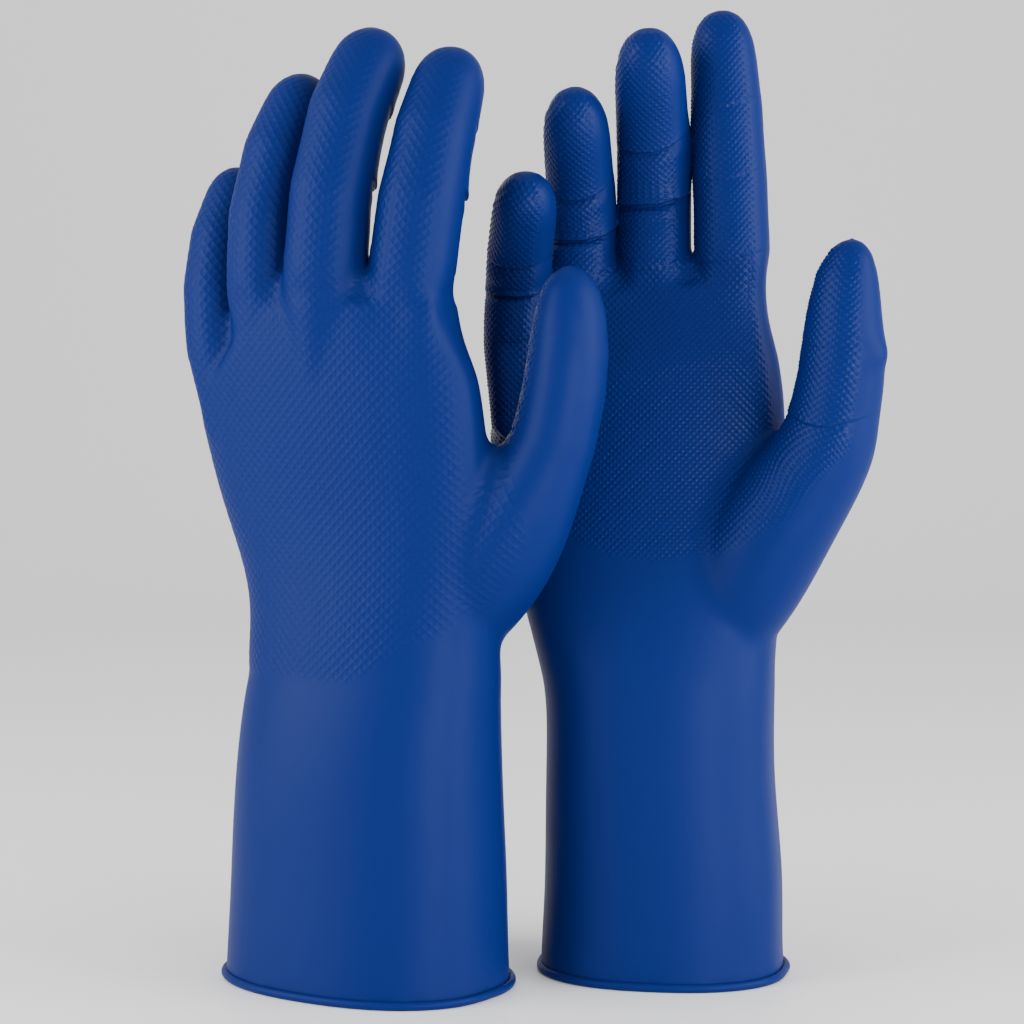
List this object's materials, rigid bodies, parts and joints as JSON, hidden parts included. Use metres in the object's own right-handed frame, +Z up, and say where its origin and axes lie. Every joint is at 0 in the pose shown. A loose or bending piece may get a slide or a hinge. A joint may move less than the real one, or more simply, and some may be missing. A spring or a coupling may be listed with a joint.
{
  "type": "rubber gloves",
  "caption": "Long-cuff rubber gloves, left and right, standing upright with raised grip texture on hands and fingers, smooth cuffs and rolled beads.",
  "frame": {"origin": "middle of the pair's footprint, on the surface that the cuffs stand on", "axes": "+X along the pair from the left glove to the right one, +Y away from the side that the right palm and the back of the left hand face, +Z up to the fingertips"},
  "size_m": [0.208, 0.0832, 0.292],
  "materials": {
    "glove_rubber": "smooth moulded rubber with a satin shine",
    "bead_rubber": "smooth rolled rubber with a satin shine"
  },
  "bodies": {
    "left_cuff": {"left_cuff": "glove_rubber", "left_cuff_bead": "bead_rubber"},
    "left_palm": {"left_palm": "glove_rubber"},
    "left_index_base": {"left_index_base": "glove_rubber"},
    "left_index_middle": {"left_index_middle": "glove_rubber"},
    "left_index_tip": {"left_index_tip": "glove_rubber"},
    "left_middle_base": {"left_middle_base": "glove_rubber"},
    "left_middle_middle": {"left_middle_middle": "glove_rubber"},
    "left_middle_tip": {"left_middle_tip": "glove_rubber"},
    "left_ring_base": {"left_ring_base": "glove_rubber"},
    "left_ring_middle": {"left_ring_middle": "glove_rubber"},
    "left_ring_tip": {"left_ring_tip": "glove_rubber"},
    "left_little_base": {"left_little_base": "glove_rubber"},
    "left_little_middle": {"left_little_middle": "glove_rubber"},
    "left_little_tip": {"left_little_tip": "glove_rubber"},
    "left_thumb_base": {"left_thumb_base": "glove_rubber"},
    "left_thumb_tip": {"left_thumb_tip": "glove_rubber"},
    "right_cuff": {"right_cuff": "glove_rubber", "right_cuff_bead": "bead_rubber"},
    "right_palm": {"right_palm": "glove_rubber"},
    "right_index_base": {"right_index_base": "glove_rubber"},
    "right_index_middle": {"right_index_middle": "glove_rubber"},
    "right_index_tip": {"right_index_tip": "glove_rubber"},
    "right_middle_base": {"right_middle_base": "glove_rubber"},
    "right_middle_middle": {"right_middle_middle": "glove_rubber"},
    "right_middle_tip": {"right_middle_tip": "glove_rubber"},
    "right_ring_base": {"right_ring_base": "glove_rubber"},
    "right_ring_middle": {"right_ring_middle": "glove_rubber"},
    "right_ring_tip": {"right_ring_tip": "glove_rubber"},
    "right_little_base": {"right_little_base": "glove_rubber"},
    "right_little_middle": {"right_little_middle": "glove_rubber"},
    "right_little_tip": {"right_little_tip": "glove_rubber"},
    "right_thumb_base": {"right_thumb_base": "glove_rubber"},
    "right_thumb_tip": {"right_thumb_tip": "glove_rubber"}
  },
  "joints": [
    {"name": "left_wrist", "type": "hinge", "parent": "left_cuff", "child": "left_palm", "pos_m": [-0.05998, -0.02593, 0.093], "axis": [0.866, -0.5, 0], "range_deg": [0, 30], "stiffness_Nm_per_rad": 0.8},
    {"name": "left_index_base_bend", "type": "hinge", "parent": "left_palm", "child": "left_index_base", "pos_m": [-0.02843, -0.01201, 0.20747], "axis": [-0.8867, 0.4475, 0.1158], "range_deg": [0, 30], "stiffness_Nm_per_rad": 0.06},
    {"name": "left_index_middle_bend", "type": "hinge", "parent": "left_index_base", "child": "left_index_middle", "pos_m": [-0.02554, -0.01226, 0.22986], "axis": [-0.8834, 0.4578, 0.0995], "range_deg": [0, 45], "stiffness_Nm_per_rad": 0.03},
    {"name": "left_index_tip_bend", "type": "hinge", "parent": "left_index_middle", "child": "left_index_tip", "pos_m": [-0.0221, -0.0095, 0.2479], "axis": [-0.8815, 0.4674, 0.0673], "range_deg": [0, 31.5], "stiffness_Nm_per_rad": 0.02},
    {"name": "left_middle_base_bend", "type": "hinge", "parent": "left_palm", "child": "left_middle_base", "pos_m": [-0.05404, -0.00882, 0.20774], "axis": [-0.8922, 0.4465, 0.0685], "range_deg": [0, 50], "stiffness_Nm_per_rad": 0.06},
    {"name": "left_middle_middle_bend", "type": "hinge", "parent": "left_middle_base", "child": "left_middle_middle", "pos_m": [-0.05204, -0.0089, 0.23311], "axis": [-0.8865, 0.4559, 0.08], "range_deg": [0, 58], "stiffness_Nm_per_rad": 0.03},
    {"name": "left_middle_tip_bend", "type": "hinge", "parent": "left_middle_middle", "child": "left_middle_tip", "pos_m": [-0.04758, -0.00497, 0.25346], "axis": [-0.87, 0.4821, 0.1037], "range_deg": [0, 40.6], "stiffness_Nm_per_rad": 0.02},
    {"name": "left_ring_base_bend", "type": "hinge", "parent": "left_palm", "child": "left_ring_base", "pos_m": [-0.07342, 0.0039, 0.20583], "axis": [-0.8948, 0.4463, 0.012], "range_deg": [0, 55], "stiffness_Nm_per_rad": 0.06},
    {"name": "left_ring_middle_bend", "type": "hinge", "parent": "left_ring_base", "child": "left_ring_middle", "pos_m": [-0.07289, 0.00422, 0.22658], "axis": [-0.8893, 0.4528, 0.0649], "range_deg": [0, 65], "stiffness_Nm_per_rad": 0.03},
    {"name": "left_ring_tip_bend", "type": "hinge", "parent": "left_ring_middle", "child": "left_ring_tip", "pos_m": [-0.06917, 0.00654, 0.24372], "axis": [-0.862, 0.4868, 0.1415], "range_deg": [0, 45.5], "stiffness_Nm_per_rad": 0.02},
    {"name": "left_little_base_bend", "type": "hinge", "parent": "left_palm", "child": "left_little_base", "pos_m": [-0.08882, 0.0171, 0.18966], "axis": [-0.8932, 0.4423, -0.081], "range_deg": [0, 50], "stiffness_Nm_per_rad": 0.06},
    {"name": "left_little_middle_bend", "type": "hinge", "parent": "left_little_base", "child": "left_little_middle", "pos_m": [-0.08984, 0.01823, 0.20654], "axis": [-0.8967, 0.4408, -0.0398], "range_deg": [0, 50], "stiffness_Nm_per_rad": 0.03},
    {"name": "left_little_tip_bend", "type": "hinge", "parent": "left_little_middle", "child": "left_little_tip", "pos_m": [-0.08859, 0.02079, 0.21921], "axis": [-0.8883, 0.4577, 0.037], "range_deg": [0, 35], "stiffness_Nm_per_rad": 0.02},
    {"name": "left_thumb_base_bend", "type": "hinge", "parent": "left_palm", "child": "left_thumb_base", "pos_m": [0.001, -0.0139, 0.16684], "axis": [-0.8001, -0.566, 0.1987], "range_deg": [0, 20], "stiffness_Nm_per_rad": 0.06},
    {"name": "left_thumb_tip_bend", "type": "hinge", "parent": "left_thumb_base", "child": "left_thumb_tip", "pos_m": [0.0054, -0.01597, 0.18923], "axis": [-0.8449, -0.5321, 0.0547], "range_deg": [0, 35], "stiffness_Nm_per_rad": 0.03},
    {"name": "right_wrist", "type": "hinge", "parent": "right_cuff", "child": "right_palm", "pos_m": [0.04312, 0.03605, 0.093], "axis": [-0.9877, 0.1564, 0], "range_deg": [0, 30], "stiffness_Nm_per_rad": 0.8},
    {"name": "right_index_base_bend", "type": "hinge", "parent": "right_palm", "child": "right_index_base", "pos_m": [0.06049, 0.0073, 0.2161], "axis": [0.9874, -0.1522, 0.0432], "range_deg": [0, 50], "stiffness_Nm_per_rad": 0.06},
    {"name": "right_index_middle_bend", "type": "hinge", "parent": "right_index_base", "child": "right_index_middle", "pos_m": [0.0598, 0.00988, 0.24056], "axis": [0.987, -0.1534, 0.0478], "range_deg": [0, 60], "stiffness_Nm_per_rad": 0.03},
    {"name": "right_index_tip_bend", "type": "hinge", "parent": "right_index_middle", "child": "right_index_tip", "pos_m": [0.05882, 0.01109, 0.26174], "axis": [0.9858, -0.1567, 0.061], "range_deg": [0, 42], "stiffness_Nm_per_rad": 0.02},
    {"name": "right_middle_base_bend", "type": "hinge", "parent": "right_palm", "child": "right_middle_base", "pos_m": [0.03686, 0.01327, 0.21373], "axis": [0.9879, -0.1551, 0.0085], "range_deg": [0, 50], "stiffness_Nm_per_rad": 0.06},
    {"name": "right_middle_middle_bend", "type": "hinge", "parent": "right_middle_base", "child": "right_middle_middle", "pos_m": [0.03724, 0.01687, 0.23259], "axis": [0.9876, -0.1567, 0.0044], "range_deg": [0, 50], "stiffness_Nm_per_rad": 0.03},
    {"name": "right_middle_tip_bend", "type": "hinge", "parent": "right_middle_middle", "child": "right_middle_tip", "pos_m": [0.03652, 0.01227, 0.24807], "axis": [0.9877, -0.1564, 0], "range_deg": [0, 35], "stiffness_Nm_per_rad": 0.02},
    {"name": "right_ring_base_bend", "type": "hinge", "parent": "right_palm", "child": "right_ring_base", "pos_m": [0.01478, 0.01653, 0.21061], "axis": [0.9877, -0.1564, 0], "range_deg": [0, 45], "stiffness_Nm_per_rad": 0.06},
    {"name": "right_ring_middle_bend", "type": "hinge", "parent": "right_ring_base", "child": "right_ring_middle", "pos_m": [0.01513, 0.01873, 0.22206], "axis": [0.9877, -0.1564, 0], "range_deg": [0, 26], "stiffness_Nm_per_rad": 0.03},
    {"name": "right_ring_tip_bend", "type": "hinge", "parent": "right_ring_middle", "child": "right_ring_tip", "pos_m": [0.01449, 0.01467, 0.23401], "axis": [0.9879, -0.1549, -0.0033], "range_deg": [0, 18.2], "stiffness_Nm_per_rad": 0.02},
    {"name": "right_little_base_bend", "type": "hinge", "parent": "right_palm", "child": "right_little_base", "pos_m": [-0.00589, 0.01041, 0.19149], "axis": [0.9855, -0.1616, -0.0518], "range_deg": [0, 45], "stiffness_Nm_per_rad": 0.06},
    {"name": "right_little_middle_bend", "type": "hinge", "parent": "right_little_base", "child": "right_little_middle", "pos_m": [-0.00491, 0.01129, 0.20476], "axis": [0.986, -0.1398, -0.0911], "range_deg": [0, 26], "stiffness_Nm_per_rad": 0.03},
    {"name": "right_little_tip_bend", "type": "hinge", "parent": "right_little_middle", "child": "right_little_tip", "pos_m": [-0.00396, 0.00668, 0.21306], "axis": [0.9883, -0.0761, -0.1325], "range_deg": [0, 18.2], "stiffness_Nm_per_rad": 0.02},
    {"name": "right_thumb_base_bend", "type": "hinge", "parent": "right_palm", "child": "right_thumb_base", "pos_m": [0.08216, -0.02067, 0.16793], "axis": [0.7779, -0.5426, -0.3169], "range_deg": [0, 25], "stiffness_Nm_per_rad": 0.06},
    {"name": "right_thumb_tip_bend", "type": "hinge", "parent": "right_thumb_base", "child": "right_thumb_tip", "pos_m": [0.08551, -0.02257, 0.19016], "axis": [0.8196, -0.5655, -0.092], "range_deg": [0, 40], "stiffness_Nm_per_rad": 0.03},
    {"name": "gloves_apart", "type": "slide", "parent": "left_cuff", "child": "right_cuff", "axis": [1, 0, 0], "range_m": [0, 0.12]}
  ],
  "couplings": [
    {"joint": "left_index_tip_bend", "follows": "left_index_middle_bend", "ratio": 0.7},
    {"joint": "left_middle_tip_bend", "follows": "left_middle_middle_bend", "ratio": 0.7},
    {"joint": "left_ring_tip_bend", "follows": "left_ring_middle_bend", "ratio": 0.7},
    {"joint": "left_little_tip_bend", "follows": "left_little_middle_bend", "ratio": 0.7},
    {"joint": "right_index_tip_bend", "follows": "right_index_middle_bend", "ratio": 0.7},
    {"joint": "right_middle_tip_bend", "follows": "right_middle_middle_bend", "ratio": 0.7},
    {"joint": "right_ring_tip_bend", "follows": "right_ring_middle_bend", "ratio": 0.7},
    {"joint": "right_little_base_bend", "follows": "right_ring_base_bend", "ratio": 1},
    {"joint": "right_little_middle_bend", "follows": "right_ring_middle_bend", "ratio": 1},
    {"joint": "right_little_tip_bend", "follows": "right_ring_middle_bend", "ratio": 0.7}
  ]
}
